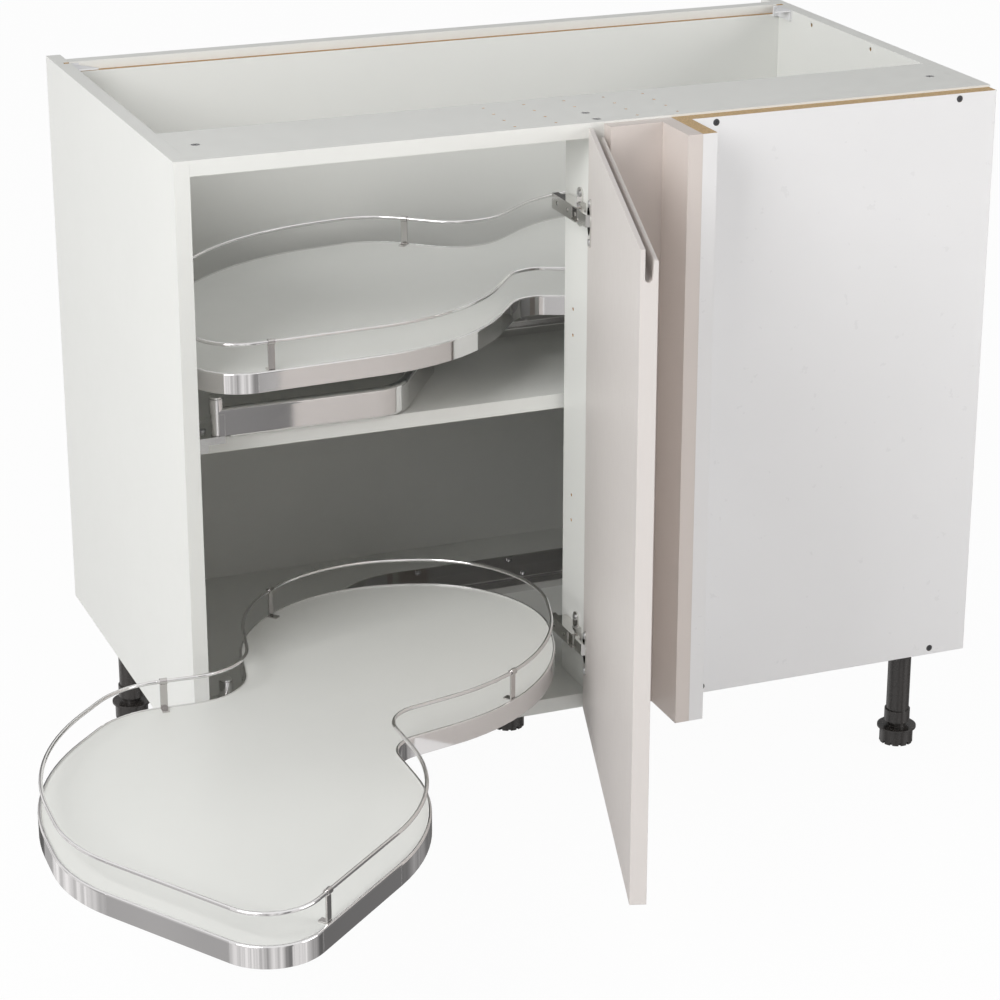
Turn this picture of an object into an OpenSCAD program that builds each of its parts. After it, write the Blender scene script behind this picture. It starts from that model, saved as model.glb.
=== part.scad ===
// Corner carousel cabinet: a blind-corner base unit with a hinged door and two kidney trays.
// The upper tray is drawn stored on its shelf and the lower tray swung out to the front.
//
// Every part is built in the carcass frame: the left front bottom corner of the carcass is the
// origin, X runs to the right, Y to the back and Z up. placed() then moves the carcass so that
// the origin is the floor under the centre leg. All sizes are millimetres.

/* [Carcass] */
// Outer width of the carcass
carcass_width = 1000; // [800:10:1200]
// Depth of the side panels, front edge to back edge
carcass_depth = 570; // [560:5:620]
// Height of the side panels
carcass_height = 720; // [700:5:800]
// Thickness of the structural panels
panel = 18; // [16:1:19]
// Underside of the mid shelf above the bottom edge of the carcass
shelf_z = 351; // [330:1:370]
// Set-back of the shelf behind the front edge of the carcass
shelf_setback = 93; // [84:1:110]
// Depth of the front top rail
front_rail_depth = 130; // [100:1:160]
// Height of the rear rail behind the back panel
rear_rail_height = 90; // [60:1:120]

/* [Back panel] */
// Thickness of the back panel
back_thick = 8; // [4:0.5:10]
// Set-in of the back panel's front face from the carcass's rear edge
back_set_in = 53.5; // [40:0.5:60]
// Drop of the back panel's top edge below the side panels
back_drop = 11; // [0:0.5:20]
// Depth of the grooves that hold the back panel
groove_depth = 8; // [5:0.5:10]
// Width of the groove beyond the panel's thickness
groove_play = 0.2; // [0:0.05:0.5]

/* [Mid post] */
// Left face of the mid post
post_x = 490; // [470:1:500]
// Depth of the mid post
post_depth = 82; // [70:1:90]

/* [Fixed fronts] */
// Gap between the closed door and the corner post's side leg
corner_gap = 3; // [2:0.5:4]
// Width of the corner post's side leg
side_leg_width = 64; // [50:1:80]
// Reach of the return panel in front of the carcass
return_reach = 86; // [60:1:100]
// Gap between the blanking panel's right edge and the carcass's side
blank_gap = 2; // [0:0.5:4]
// Bottom edge of the fixed fronts
front_bottom = 0.8; // [0:0.1:5]
// Drop of the fixed fronts' top edge below the side panels
front_top_drop = 2.5; // [0:0.5:5]

/* [Door] */
// Drop of the door's top edge below the side panels
door_top_drop = 5; // [2:0.5:10]
// Thickness of the door
door_thick = 18; // [16:1:22]
// Bottom edge of the door above the carcass's bottom edge
door_bottom = 1.5; // [0:0.5:5]
// Left edge of the closed door
door_left = 2; // [1:0.5:4]
// Gap between the closed door and the carcass
door_gap = 2.5; // [1:0.5:4]
// Angle of the open door
door_open = 72.4; // [0:0.1:107]
// Hinge axis, from the closed door's hinge edge and inner face
hinge_axis_in = [7.8, 13]; // [0:0.1:20]

/* [Finger groove] */
// Wall left behind the groove
groove_wall = 4.8; // [3:0.1:8]
// Radius of the groove's round bottom
groove_r = 3.8; // [2:0.1:6]
// Height of the groove's round centre below the door's top edge
groove_centre_drop = 29.8; // [20:0.1:40]
// Height of the lip's round centre below the door's top edge
lip_centre_drop = 13; // [5:0.1:20]
// Radius of the lip
lip_r = 2.25; // [1:0.05:3]

/* [Hinges] */
// Height of the lower hinge above the carcass's bottom edge
lower_hinge_z = 86; // [60:1:140]
// Drop of the upper hinge below the carcass's top edge
upper_hinge_drop = 107; // [60:1:140]
// Line of the plate screws behind the post's front edge
plate_line = 37; // [20:1:60]
// Spacing of the two plate screws
plate_spacing = 32; // [20:1:40]
// Radius of the cup bore
cup_r = 17.5; // [13:0.5:20]
// Depth of the cup bore
cup_depth = 12.5; // [8:0.5:14]
// Distance of the cup's centre from the door's hinge edge
cup_inset = 21.5; // [18:0.5:30]
// Wall of the cup
cup_wall = 1; // [0.8:0.1:2]
// Gap between the cup and the bottom of its bore
cup_floor_gap = 0.3; // [0.2:0.1:1]
// Thickness of the cup's flange
cup_flange = 1.5; // [1:0.1:2]
// Edge of the cup's flange beyond its screw heads
cup_flange_edge = 1.5; // [1:0.1:3]
// Distance of the flange screws behind the cup's centre
cup_screw_back = 9.5; // [8:0.5:11]
// Distance of the flange screws above and below the cup's centre
cup_screw_side = 22.5; // [21:0.5:26]
// Width of the gooseneck links
link_width = 14.4; // [10:0.1:14.6]
// Outline of a gooseneck with the door open, from the mid post's front left edge
link_outline = [
    [-5.5, -31.5], [-6, -25.5], [-16, -21], [-16, -6], [-11.5, -3], [-11.5, 12],
    [-16, 12], [-16, 3], [-20, -3], [-20, -23], [-9, -28]
]; // [-40:0.1:40]
// Thickness of the mounting plate's wings
plate_sheet = 2; // [1:0.1:3]
// Width of the wings
plate_wing = 14; // [12:0.5:18]
// Rise of the mounting plate's block above the post
plate_rise = 8; // [6:0.5:9]
// Reach of the block in front of the screw line
plate_front = 15; // [12:0.5:18]
// Length of the block
plate_length = 43; // [40:0.5:46]
// Rise of the arm's back above the post
arm_reach = 20; // [18:0.5:22]
// Half the height of the arm
arm_half = 9; // [8.8:0.1:11]
// Thickness of the arm's sheet
arm_sheet = 1.5; // [1:0.1:1.6]
// Front end of the arm behind the post's front edge
arm_nose = 6; // [5:0.5:7]
// Length of the arm's open nose
link_room = 12; // [10:0.5:14]
// Length of the arm behind the plate's block
arm_tail = 10; // [6:0.5:12]
// Overlap of the arm's flanges over the plate's block
arm_shoulder = 4; // [2:0.5:6]
// Radius of the holes for the adjusting screws
arm_hole_r = 2.8; // [1.5:0.1:4]
// Clearance of parts that sit in drilled holes
seat_play = 0.1; // [0.05:0.01:0.2]

/* [Legs] */
// Height of the legs, floor to carcass
leg_height = 150; // [100:1:180]
// Distance of the corner legs' axes from the carcass's sides
leg_inset_x = 50; // [40:1:80]
// Distance of the front legs' axes from the carcass's front edge
leg_front_y = 55; // [40:1:120]
// Distance of the rear legs' axes from the carcass's front edge
leg_back_y = 495; // [440:1:540]
// Outer radius of the leg tube
leg_r = 14.6; // [10:0.1:25]
// Wall of the leg tube
leg_wall = 2.5; // [1.5:0.1:4]
// Outer radius of the collar at the tube's lower end
collar_r = 16.4; // [12:0.1:30]
// Height of the collar
collar_height = 16; // [8:0.5:30]
// Height of the collar's lower edge above the floor
collar_z = 29.5; // [25:0.5:60]
// Radius of the adjuster's thread
adjuster_r = 12; // [8:0.1:14]
// Reach of the thread above the collar's lower edge
thread_reach = 30; // [20:1:40]
// Radius of the foot
foot_r = 21.4; // [15:0.1:30]
// Height of the foot
foot_height = 20; // [10:0.5:30]
// Radius of the flange on the foot
foot_flange_r = 25; // [20:0.1:35]
// Thickness of the flange
foot_flange = 2.5; // [1:0.1:5]
// Number of slots round the foot
foot_slots = 12; // [6:1:24]
// Width of each slot
foot_slot_width = 3; // [1:0.1:5]
// Height of each slot
foot_slot_height = 4; // [1:0.1:8]
// Depth of each slot
foot_slot_depth = 3; // [1:0.1:5]
// Radius of the socket plate under the bottom panel
socket_r = 32; // [20:1:45]
// Thickness of the socket plate
socket_plate = 5; // [2:0.5:8]
// Length of the socket's spigot inside the tube
socket_spigot = 22; // [15:1:25]

/* [Tray outline: centre x, centre y, signed radius; negative is hollow] */
// Carcass width that the outline is drawn for
outline_width = 1000; // [900:10:1200]
// Carcass depth that the outline is drawn for
outline_depth = 570; // [560:5:620]
// Left front nose
nose = [90.2, 78.4, 60.5]; // [-500:0.1:1000]
// Long front edge
front_edge = [232.3, 268.5, 243]; // [-500:0.1:1000]
// Hollow in the front that clears the mid post
front_waist = [486.8, 136.9, -38.9]; // [-500:0.1:1000]
// Front of the blind lobe
lobe_front = [662.1, 389.4, 263.9]; // [-500:0.1:1000]
// Right end of the blind lobe
lobe_side = [742.9, 319.2, 159.8]; // [-500:0.1:1000]
// Back of the blind lobe
lobe_back = [705.8, 311.9, 193.9]; // [-500:0.1:1000]
// Hollow in the back that clears the left side panel when the tray is out
back_waist = [501.5, 482.9, -68.6]; // [-500:0.1:1000]
// Shoulder left of the back hollow
shoulder = [355.9, 384.2, 101.2]; // [-500:0.1:1000]
// Rounded left back corner
back_left = [347.2, 175.1, 307.4]; // [-500:0.1:1000]
// Left side
left_side = [229.3, 224.8, 184.7]; // [-500:0.1:1000]

/* [Tray section] */
// Height of the trim's lip above the panel that the tray runs on
tray_lip_z = 98; // [80:1:150]
// Height of the trim band
band_height = 24; // [18:0.5:40]
// Thickness of the trim band
band_wall = 1.6; // [1:0.1:3]
// Outer radius of the lip's rounding
lip_round = 2.2; // [1.7:0.1:4]
// Width of the lip over the deck
lip_width = 3; // [2.5:0.1:8]
// Thickness of the deck
deck_thick = 16; // [8:0.5:19]
// Gap between the deck's edge and the trim's wall
deck_play = 0.7; // [0.6:0.1:2]
// Reach of the ledge under the deck
ledge_reach = 5; // [3:0.5:10]
// Thickness of the ledge
ledge_thick = 1.5; // [1:0.1:3]

/* [Tray rail] */
// Radius of the rail wire
wire_r = 2.2; // [1.5:0.1:4]
// Height of the wire's centre above the lip
wire_rise = 32.5; // [20:0.5:80]
// Distance of the wire's centre inside the tray's outline
wire_inset = 5; // [4.5:0.1:12]
// Width of the rail posts
rail_post_width = 8; // [5:0.5:12]
// Thickness of the rail posts
rail_post_thick = 2; // [1:0.1:3]
// Length of the post's foot on the deck
rail_foot = 10; // [5:0.5:20]
// Thickness of the post's foot
rail_foot_thick = 1.6; // [1:0.1:3]
// Wall of the post's sleeve round the wire
hook_wall = 1; // [0.8:0.1:2]
// Clearance between a post's sleeve and the wire
hook_play = 0.4; // [0.3:0.05:0.6]
// Outline disc that each rail post belongs to, counted from the nose
rail_post_discs = [0, 6, 5, 3]; // [0:1:9]
// Turn of each rail post from the end of its disc's arc
rail_post_turns = [0, 0, -39.2, -39.6]; // [-90:0.1:0]
// Slide of each rail post along the straight after its disc
rail_post_slides = [17.6, 38.5, 0, 0]; // [0:0.1:60]

/* [Swing mechanism] */
// Axis of the arm's bracket
arm_pivot = [64.5, 93]; // [40:0.5:120]
// Turn of the swung-out tray
out_turn = 37.7; // [20:0.1:60]
// Shift of the swung-out tray
out_shift = [-110.9, -678.5]; // [-900:0.1:0]
// Place of the tray's pivot along the line of equal arm lengths
pivot_offset = -95; // [-200:1:60]
// Width of the arm's bar
arm_width = 13; // [10:0.5:20]
// Height of the arm's bar
arm_height = 36; // [30:0.5:40]
// Rounding of the bar's long edges
arm_round = 4; // [2:0.5:5]
// Gap between the arm and the panel below it
arm_lift = 0.8; // [0.5:0.1:3]
// Distance of the front bar's centre line in front of the bracket's axis
arm_set_out = 2; // [0:0.5:4]
// Place where the centre lines of the two bars cross
arm_bend_x = 285; // [240:1:300]
// Radius of the bend's centre line
arm_bend_r = 50; // [30:0.5:60]
// Lean of the rear bar
arm_lean = 56.3; // [50:0.1:60]
// Length of the rear bar from the crossing of the centre lines
arm_rear = 153; // [120:1:160]
// Underside of the arm's head above the panel
head_z = 24; // [20:0.5:30]
// Outer radius of the arm's barrel
barrel_r = 8.5; // [7:0.1:12]
// Top of the barrel above the panel
barrel_top = 48; // [40:1:60]
// Radius of the bracket's pin
bracket_pin_r = 5; // [4:0.1:8]
// Thickness of the bracket's base plate
bracket_plate = 4; // [2:0.5:8]
// Radius of the arm's head round the tray's pivot
boss_r = 27; // [26:1:32]
// Radius of the tray's pivot pin
turn_pin_r = 10; // [6:0.5:12]
// Top of the tray's pivot pin above the panel
turn_pin_top = 70; // [60:0.5:74]
// Reach of the rear bar's top into the arm's head
head_overlap = 17; // [12:0.5:20]
// Height of the arm's bearing ring, whose lowest millimetre is inside the head
hub_gap = 3; // [2:0.5:4]
// Running gap between the bearing ring and the turntable's hub
ring_play = 0.5; // [0.3:0.1:1]
// Floor of the arm's head under the tray's pivot pin
pin_floor = 2; // [1:0.5:4]
// Radius of the barrel below its collar
barrel_neck_r = 7; // [6:0.1:8]
// Underside of the barrel's collar above the panel
barrel_collar_z = 30; // [28:0.5:36]
// Reach of the clearance over the bracket's plate beyond the axis
base_clear = 14; // [13:0.5:20]
// Gap under the pin's cap and over the bracket's plate
pin_cap_gap = 0.3; // [0.2:0.05:0.5]
// Thickness of the pin's cap
pin_cap = 2; // [1:0.5:3]
// Gap between the bracket and the side panel
bracket_gap = 0.3; // [0:0.1:2]
// Reach of the bracket's plate to the right of the axis
bracket_right = 7.7; // [6:0.1:9]
// Reach of the bracket's plate in front of the axis
bracket_front = 9; // [8.5:0.5:9]
// Reach of the bracket's plate behind the axis
bracket_back = 56; // [50:1:70]
// Drop of the bracket's lip below the shelf's top, right part
bracket_step = 5; // [3:0.5:8]
// Drop of the bracket's lip below the shelf's top, left part
bracket_lip = 14; // [10:0.5:18]
// Width of the lip's left part
bracket_lip_width = 33.4; // [20:0.1:40]
// Distances of the bracket's screws to the left of the axis
bracket_screw_xs = [12, 36]; // [10:1:40]
// Distances of the bracket's screws behind the axis
bracket_screw_ys = [18, 44]; // [12:1:50]
// Length of the screws below the heads, in the bracket, guide and deck
swing_screw = 13; // [10:0.5:15]
// Running clearance of the pivots
pivot_play = 0.05; // [0.02:0.01:0.1]
// Radius of the turntable plate under the deck
turntable_r = 77; // [50:1:79]
// Distance of the deck screws inside the turntable plate's edge
turntable_edge = 12; // [8:1:20]
// Thickness of the turntable plate
turntable_plate = 3; // [2:0.5:6]
// Outer radius of the turntable's hub
hub_r = 25; // [18:1:40]

/* [Base guide] */
// Rear edge of the guide
guide_back_y = 406; // [350:1:450]
// Right end of the guide
guide_right_x = 720; // [600:1:900]
// Where the guide's straight ends and its curve starts
guide_bend_x = 385; // [300:1:500]
// Places of the guide's screws
guide_screw_xs = [430, 560, 690]; // [400:1:710]
// Radius of the guide's rear flange
guide_r = 116; // [90:1:150]
// Angle of the guide's curve
guide_angle = 66; // [20:1:90]
// Width of the guide
guide_width = 82; // [60:1:90]
// Height of the guide's rear flange
guide_height = 18; // [8:0.5:25]
// Distance of the middle flange from the rear flange
guide_channel = 54; // [30:1:60]
// Height of the middle flange
guide_mid_height = 9; // [4:0.5:18]
// Thickness of the guide's sheet
guide_sheet = 2; // [1:0.1:3]

/* [Fittings] */
// Places of the two holes near each side panel's top edge
top_hole_ys = [262, 422]; // [200:1:480]
// Drop of those holes below the top edge
top_hole_drop = 8.5; // [5:0.5:12]
// Radius of those holes
top_hole_r = 2.5; // [1.5:0.1:4]
// Length of the rear corner pieces along the side panels
corner_leg = 37; // [25:1:50]
// Height of the rear corner pieces
corner_height = 14; // [10:1:25]
// Wall of the rear corner pieces
corner_wall = 3; // [2:0.5:4]
// Lean of the corner pieces' cut edge
corner_lean = 35; // [25:1:45]
// Radius of the pilot holes
pilot_r = 2; // [1:0.1:3]
// Depth of the pilot holes
pilot_depth = 11; // [8:0.5:16]
// First row of pilot holes in the front rail
pilot_y = 14.5; // [10:0.5:30]
// Spacing of the pilot columns
pilot_pitch_x = 50; // [30:1:60]
// Spacing of the pilot rows and of every other pair of holes
pilot_pitch_y = 32; // [25:1:37]
// Distance of the mid post's pilot holes behind its front edge
post_hole_y = 57; // [45:1:70]
// Drop of the nearest pilot hole below the shelf's underside
post_hole_drop = 98.5; // [60:0.5:120]
// Rise of the nearest pilot hole above the shelf's top
post_hole_rise = 83.5; // [60:0.5:120]
// Radius of the rail's cam fittings
cam_r = 5; // [4:0.1:8]
// Depth of the rail's cam fittings
cam_depth = 13; // [8:0.5:15]
// Distance of the cams from the carcass's sides
cam_inset_x = 44; // [30:1:60]
// Distance of the cams from the carcass's front edge
cam_inset_y = 66; // [30:1:100]
// Distance of the left screws from the blanking panel's left edge
blank_screw_left = 31; // [20:1:60]
// Distance of the right screws from the blanking panel's right edge
blank_screw_right = 49; // [20:1:60]
// Head radius of the screws
head_r = 4; // [3:0.1:6]
// Height of the screw heads
head_height = 1.8; // [1:0.1:3]
// Depth of the blanking panel's screw heads below its face
sunk = 0.3; // [0:0.1:2]
// Width of the slots in the screw heads
slot_width = 1; // [0.5:0.1:1.5]
// Shank radius of the screws
shank_r = 1.9; // [1.5:0.1:3]
// Head radius of the post screws
post_screw_head_r = 5; // [4:0.1:7]
// Shank radius of the post screws
post_screw_r = 3.4; // [2.5:0.1:4]
// Height of the post screws' heads
post_screw_head = 4; // [3:0.5:6]
// Length of the post screws
post_screw_length = 50; // [40:1:70]

/* [Output] */
// Part to draw

/* [Hidden] */
$fn = 32;
arc_fn = 48;
// Angle between the points of the deck's rounded edges
arc_step = 4;
// Joints of the swept trim and wire: gap between pieces, and length and growth of the collars
joint_gap = 0.1;
collar_length = 1.2;
collar_grow = 0.04;
white_board = [0.91, 0.91, 0.9];
cashmere_board = [0.8, 0.78, 0.76];
front_white = [0.9, 0.9, 0.91];
white_plastic = [0.93, 0.93, 0.93];
black_plastic = [0.16, 0.15, 0.15];
chrome_metal = [0.8, 0.8, 0.82];
steel_metal = [0.6, 0.6, 0.62];
deck_board = [0.85, 0.86, 0.84];
dark_screw = [0.12, 0.12, 0.12];

inner_width = carcass_width - 2 * panel;
shelf_top = shelf_z + panel;
rail_z = carcass_height - panel;
back_width = inner_width + 2 * groove_depth;
back_front = carcass_depth - back_set_in;
groove_front = back_front - groove_play / 2;
groove_width = back_thick + groove_play;
rear_rail_y = back_front + back_thick;
door_width = post_x + panel / 2 - door_left;
door_height = carcass_height - door_top_drop - door_bottom;
side_leg_x = door_left + door_width + corner_gap;
corner_x = side_leg_x + side_leg_width + panel;
blank_right = carcass_width - blank_gap;
front_top = carcass_height - front_top_drop;
hinge_heights = [lower_hinge_z, carcass_height - upper_hinge_drop];
hinge_axis = [door_left + door_width - hinge_axis_in.x, -door_gap - hinge_axis_in.y];
cup_x = door_left + door_width - cup_inset;
leg_sites = [
    [leg_inset_x, leg_front_y],
    [carcass_width - leg_inset_x, leg_front_y],
    [leg_inset_x, leg_back_y],
    [carcass_width - leg_inset_x, leg_back_y],
    [carcass_width / 2, carcass_depth / 2]
];
// The tray and its mechanism follow the carcass in plan
plan_scale = min(carcass_width / outline_width, carcass_depth / outline_depth);
tray_discs = plan_scale * [
    nose, front_edge, front_waist, lobe_front, lobe_side,
    lobe_back, back_waist, shoulder, back_left, left_side
];
swing_axis = plan_scale * arm_pivot;
swing_shift = plan_scale * out_shift;
deck_top = tray_lip_z - band_wall;
deck_bottom = deck_top - deck_thick;
deck_inset = band_wall + deck_play;

// ---------------------------------------------------------------- frames

module placed() {
    translate([-carcass_width / 2, -carcass_depth / 2, leg_height])
        children();
}

module upper_stored() {
    translate([0, 0, shelf_top])
        children();
}

module lower_out() {
    translate([swing_shift.x, swing_shift.y, panel])
        rotate([0, 0, out_turn])
            children();
}

module lower_arm_out() {
    translate([swing_axis.x, swing_axis.y, panel])
        rotate([0, 0, arm_turn])
            translate([-swing_axis.x, -swing_axis.y, 0])
                children();
}

module door_opened() {
    translate([hinge_axis.x, hinge_axis.y, 0])
        rotate([0, 0, door_open])
            translate([-hinge_axis.x, -hinge_axis.y, 0])
                children();
}

// ---------------------------------------------------------------- outline geometry

function centre_of(disc) = [disc.x, disc.y];
function turned(v, angle) =
    [v.x * cos(angle) - v.y * sin(angle), v.x * sin(angle) + v.y * cos(angle)];
function angle_of(v) = atan2(v.y, v.x);
function positive_angle(a) = a - 360 * floor(a / 360);

// Outward normal of the straight that touches disc a and then disc b
function link_normal(a, b) =
    let (
        span = centre_of(b) - centre_of(a),
        dir = span / norm(span),
        k = (a.z - b.z) / norm(span)
    )
    k * dir + sqrt(1 - k * k) * [dir.y, -dir.x];

// Point where the outline, moved inwards by inset, leaves or meets a disc
function touch_point(disc, normal, inset) = centre_of(disc) + (disc.z - inset) * normal;

function wrapped(list, i) = list[(i + len(list)) % len(list)];
function normal_before(discs, i) = link_normal(wrapped(discs, i - 1), discs[i]);
function normal_after(discs, i) = link_normal(discs[i], wrapped(discs, i + 1));

function arc_start(disc, before, after) = angle_of(disc.z > 0 ? before : -after);
function arc_sweep(disc, before, after) =
    positive_angle((disc.z > 0 ? 1 : -1) * (angle_of(after) - angle_of(before)));

// Points along one disc's arc, moved inwards from the outline
function arc_points(discs, i, inset) =
    let (
        disc = discs[i],
        before = normal_before(discs, i),
        after = normal_after(discs, i),
        side = disc.z > 0 ? 1 : -1,
        start = angle_of(side * before),
        sweep = side * arc_sweep(disc, before, after),
        steps = ceil(abs(sweep) / arc_step)
    )
    [
        for (k = [0 : steps])
            let (a = start + sweep * k / steps)
                centre_of(disc) + abs(disc.z - inset) * [cos(a), sin(a)]
    ];

function outline_points(discs, inset) = [
    for (i = [0 : len(discs) - 1], point = arc_points(discs, i, inset))
        point
];

// Children are a section with X measured inwards from the outline and Y measured up
module sweep_arc(discs, i) {
    disc = discs[i];
    before = normal_before(discs, i);
    after = normal_after(discs, i);
    translate([disc.x, disc.y, 0])
        rotate([0, 0, arc_start(disc, before, after)])
            rotate_extrude(angle = arc_sweep(disc, before, after), $fn = arc_fn)
                translate([abs(disc.z), 0])
                    mirror([disc.z > 0 ? 1 : 0, 0])
                        children();
}

// Straight between two arcs, kept clear of their end faces; the collars close the gaps
module sweep_straight(discs, i) {
    next = wrapped(discs, i + 1);
    normal = normal_after(discs, i);
    from = touch_point(discs[i], normal, 0);
    to = touch_point(next, normal, 0);
    translate([from.x, from.y, 0])
        rotate([0, 0, angle_of(to - from)])
            translate([joint_gap, 0, 0])
                rotate([90, 0, 90])
                    linear_extrude(norm(to - from) - 2 * joint_gap)
                        children();
}

// Short collar over each end of each arc
module arc_collars(discs) {
    for (i = [0 : len(discs) - 1], normal = [normal_before(discs, i), normal_after(discs, i)]) {
        at = touch_point(discs[i], normal, 0);
        translate([at.x, at.y, 0])
            rotate([0, 0, angle_of(normal) + 90])
                translate([-collar_length / 2, 0, 0])
                    rotate([90, 0, 90])
                        linear_extrude(collar_length)
                            children();
    }
}

// Closed sweep: the first child is the section and the second its slightly thicker collar
module sweep_outline(discs) {
    for (i = [0 : len(discs) - 1]) {
        sweep_arc(discs, i)
            children(0);
        sweep_straight(discs, i)
            children(0);
    }
    arc_collars(discs)
        children(1);
}

// ---------------------------------------------------------------- mechanism geometry

// The tray's pivot is as far from the bracket when stored as when swung out
bracket_image = turned(swing_axis - swing_shift, -out_turn);
bisector = (bracket_image - swing_axis) / norm(bracket_image - swing_axis);
turn_pivot = (swing_axis + bracket_image) / 2
    + plan_scale * pivot_offset * [-bisector.y, bisector.x];
turn_pivot_out = turned(turn_pivot, out_turn) + swing_shift;
arm_turn = angle_of(turn_pivot_out - swing_axis) - angle_of(turn_pivot - swing_axis);
bend_cross = [plan_scale * arm_bend_x, swing_axis.y - arm_set_out];
bend_trim = arm_bend_r * tan(arm_lean / 2);
arm_length = plan_scale * arm_rear;
guide_right = plan_scale * guide_right_x;
guide_bend = plan_scale * guide_bend_x;
guide_back = plan_scale * guide_back_y;

// ---------------------------------------------------------------- screws

// Cross-head screw: its head stands on Z = 0 and its shank runs down
module screw(length) {
    difference() {
        union() {
            cylinder(r = head_r, h = head_height);
            translate([0, 0, -length])
                cylinder(r = shank_r, h = length + head_height / 2);
        }
        for (turn = [0, 90])
            rotate([0, 0, turn])
                translate([-head_r / 2, -slot_width / 2, head_height / 2])
                    cube([head_r, slot_width, head_height]);
    }
}

// ---------------------------------------------------------------- carcass

module drilled(at, dir, r, depth) {
    translate(at)
        rotate(dir)
            cylinder(r = r, h = depth);
}

module side_panel(x, groove_x) {
    difference() {
        translate([x, 0, 0])
            cube([panel, carcass_depth, carcass_height]);
        translate([groove_x, groove_front, panel - groove_depth])
            cube([groove_depth + 1, groove_width, carcass_height]);
        children();
    }
}

// Two blind holes near the top edge of each side panel's inner face
module top_holes(inner_x, towards) {
    for (y = top_hole_ys)
        drilled([inner_x - towards, y, carcass_height - top_hole_drop], [0, 90 * towards, 0],
                top_hole_r, pilot_depth + 1);
}

module side_panel_left() {
    color(white_board)
        side_panel(0, panel - groove_depth)
            top_holes(panel, -1);
}

module side_panel_right() {
    inner = carcass_width - panel;
    color(white_board)
        side_panel(inner, inner - 1)
            top_holes(inner, 1);
}

module bottom_panel() {
    color(white_board)
        difference() {
            translate([panel, 0, 0])
                cube([inner_width, carcass_depth, panel]);
            translate([0, groove_front, panel - groove_depth])
                cube([carcass_width, groove_width, panel]);
            blank_screw_holes(0);
            translate([0, 0, panel])
                mechanism_screw_holes();
        }
}

module mid_shelf() {
    color(white_board)
        difference() {
            translate([panel, shelf_setback, shelf_z])
                cube([inner_width, back_front - shelf_setback, panel]);
            upper_stored()
                mechanism_screw_holes();
        }
}

module back_panel() {
    bottom = panel - groove_depth;
    color(white_board)
        translate([panel - groove_depth, back_front, bottom])
            cube([back_width, back_thick, carcass_height - back_drop - bottom]);
}

module rear_rail() {
    color(white_board)
        translate([panel, rear_rail_y, carcass_height - rear_rail_height])
            cube([inner_width, panel, rear_rail_height]);
}

module front_rail() {
    color(white_board)
        difference() {
            translate([panel, 0, rail_z])
                cube([inner_width, front_rail_depth, panel]);
            for (column = [-2 : 2], row = [0 : 3])
                if (column != 0 || row > 1)
                    translate([post_x + panel / 2 + column * pilot_pitch_x, 0, 0])
                        drilled([0, pilot_y + row * pilot_pitch_y, carcass_height + 1],
                                [180, 0, 0], pilot_r, pilot_depth + 1);
            for (x = [cam_inset_x, carcass_width - cam_inset_x])
                drilled([x, cam_inset_y, carcass_height + 1], [180, 0, 0],
                        cam_r + seat_play, cam_depth + 1);
            post_screw_holes();
            blank_screw_holes(rail_z);
        }
}

module mid_post() {
    color(white_board)
        difference() {
            translate([post_x, 0, panel])
                cube([panel, post_depth, rail_z - panel]);
            for (i = [0, 1], z = [shelf_z - post_hole_drop - i * pilot_pitch_y,
                                  shelf_top + post_hole_rise + i * pilot_pitch_y])
                drilled([post_x - 1, post_hole_y, z], [0, 90, 0], pilot_r, pilot_depth + 1);
            for (z = hinge_heights, side = [-1, 1])
                drilled([post_x - 1, plate_line, z + side * plate_spacing / 2], [0, 90, 0],
                        shank_r + seat_play, pilot_depth + 1);
            post_screw_holes();
        }
}

module at_post_screws() {
    for (row = [0, 1])
        translate([post_x + panel / 2, pilot_y + row * pilot_pitch_y, carcass_height])
            children();
}

module post_screw_holes() {
    at_post_screws() {
        translate([0, 0, -post_screw_head])
            cylinder(r = post_screw_head_r + seat_play, h = post_screw_head + 1);
        translate([0, 0, -post_screw_length])
            cylinder(r = post_screw_r + seat_play, h = post_screw_length);
    }
}

module post_screws() {
    color(steel_metal)
        at_post_screws()
            difference() {
                union() {
                    translate([0, 0, -post_screw_head])
                        cylinder(r = post_screw_head_r, h = post_screw_head - sunk);
                    translate([0, 0, -post_screw_length])
                        cylinder(r = post_screw_r, h = post_screw_length - post_screw_head / 2);
                }
                translate([0, 0, -0.75 * post_screw_head])
                    cylinder(r = post_screw_r / 2, h = post_screw_head);
            }
}

module rail_cams() {
    color(steel_metal)
        for (x = [cam_inset_x, carcass_width - cam_inset_x])
            translate([x, cam_inset_y, carcass_height - cam_depth])
                difference() {
                    cylinder(r = cam_r, h = cam_depth);
                    for (turn = [45, 135])
                        rotate([0, 0, turn])
                            translate([-0.7 * cam_r, -slot_width / 2, cam_depth - 2 * slot_width])
                                cube([1.4 * cam_r, slot_width, 3 * slot_width]);
                }
}

// White angle pieces in the two rear corners, level with the top edge
module corner_bracket() {
    arm = 0.7 * corner_leg;
    difference() {
        cube([arm, corner_leg, corner_height]);
        translate([corner_wall, -1, -1])
            cube([arm, corner_leg - corner_wall + 2, corner_height - corner_wall + 2]);
        translate([arm, -1, -1])
            rotate([0, 0, corner_lean])
                translate([0, -corner_leg, 0])
                    cube([corner_leg, 3 * corner_leg, corner_height + 2]);
    }
    translate([0, corner_leg - corner_wall, 0])
        cube([corner_leg / 4, corner_wall, corner_height]);
}

module corner_brackets() {
    color(white_plastic)
        for (side = [0, 1])
            translate([side * carcass_width, 0, 0])
                mirror([side, 0])
                    translate([panel, back_front - corner_leg, carcass_height - corner_height])
                        corner_bracket();
}

// ---------------------------------------------------------------- fixed fronts

module front_board(x, y, width, depth) {
    translate([x, y, front_bottom])
        cube([width, depth, front_top - front_bottom]);
}

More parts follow.
